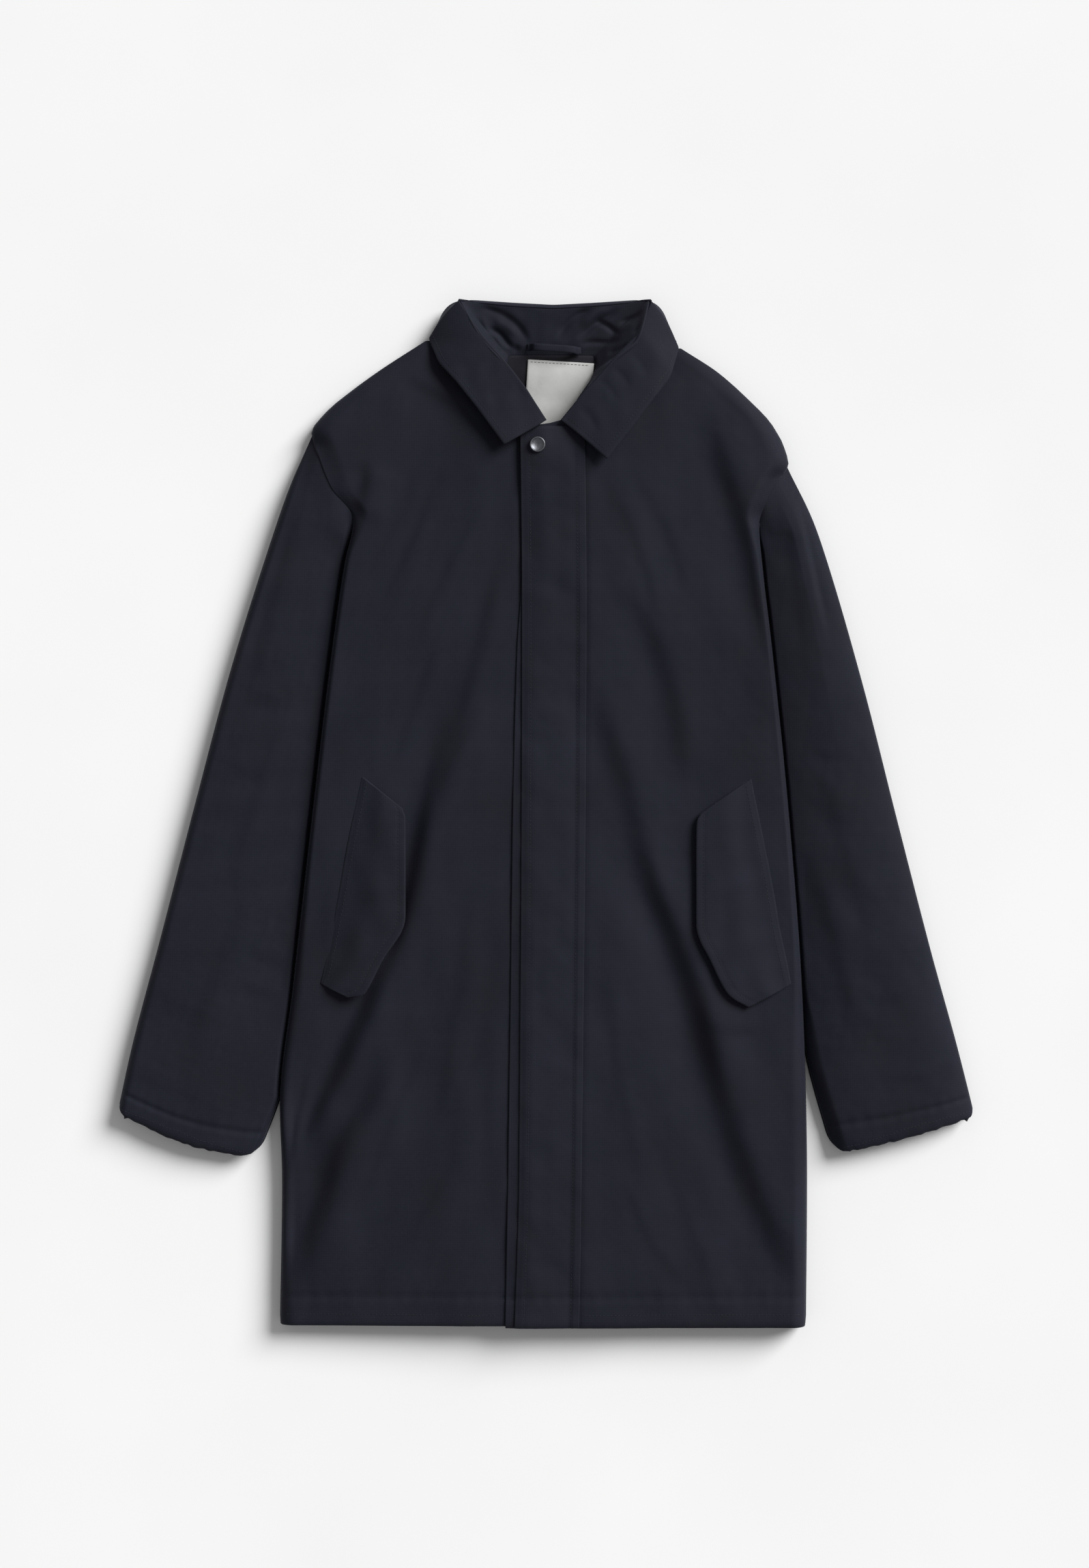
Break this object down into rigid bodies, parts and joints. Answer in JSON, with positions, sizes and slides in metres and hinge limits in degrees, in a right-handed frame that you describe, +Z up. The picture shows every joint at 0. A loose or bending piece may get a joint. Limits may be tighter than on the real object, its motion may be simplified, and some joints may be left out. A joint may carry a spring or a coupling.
{
  "type": "parka",
  "caption": "Thigh-length padded parka lying flat on its back, with a turned-down collar, covered front placket, set-in sleeves and slanted pocket flaps.",
  "frame": {"origin": "centre of the bounding box in X and Y, on the surface that the coat lies on", "axes": "+Y from the hem to the collar, +Z up from the surface to the front of the coat, +X to the wearer's left"},
  "size_m": [0.792, 0.9499, 0.0378],
  "materials": {
    "shell_cloth": "matte tight weave, dark navy",
    "lining_cloth": "smooth dark lining",
    "label_satin": "pale grey satin tape, bare",
    "snap_metal": "dark gunmetal, half gloss"
  },
  "bodies": {
    "root": {"back": "shell_cloth", "front_right": "shell_cloth", "front_left": "shell_cloth", "placket": "shell_cloth", "sleeve_right_top": "shell_cloth", "sleeve_right_under": "shell_cloth", "sleeve_left_top": "shell_cloth", "sleeve_left_under": "shell_cloth", "collar_leaf": "shell_cloth", "collar_stand": "shell_cloth", "pocket_flap_right": "shell_cloth", "pocket_flap_left": "shell_cloth", "neck_facing": "lining_cloth", "neck_label": "label_satin", "hanger_loop": "shell_cloth", "snap_cap": "snap_metal"}
  },
  "joints": []
}
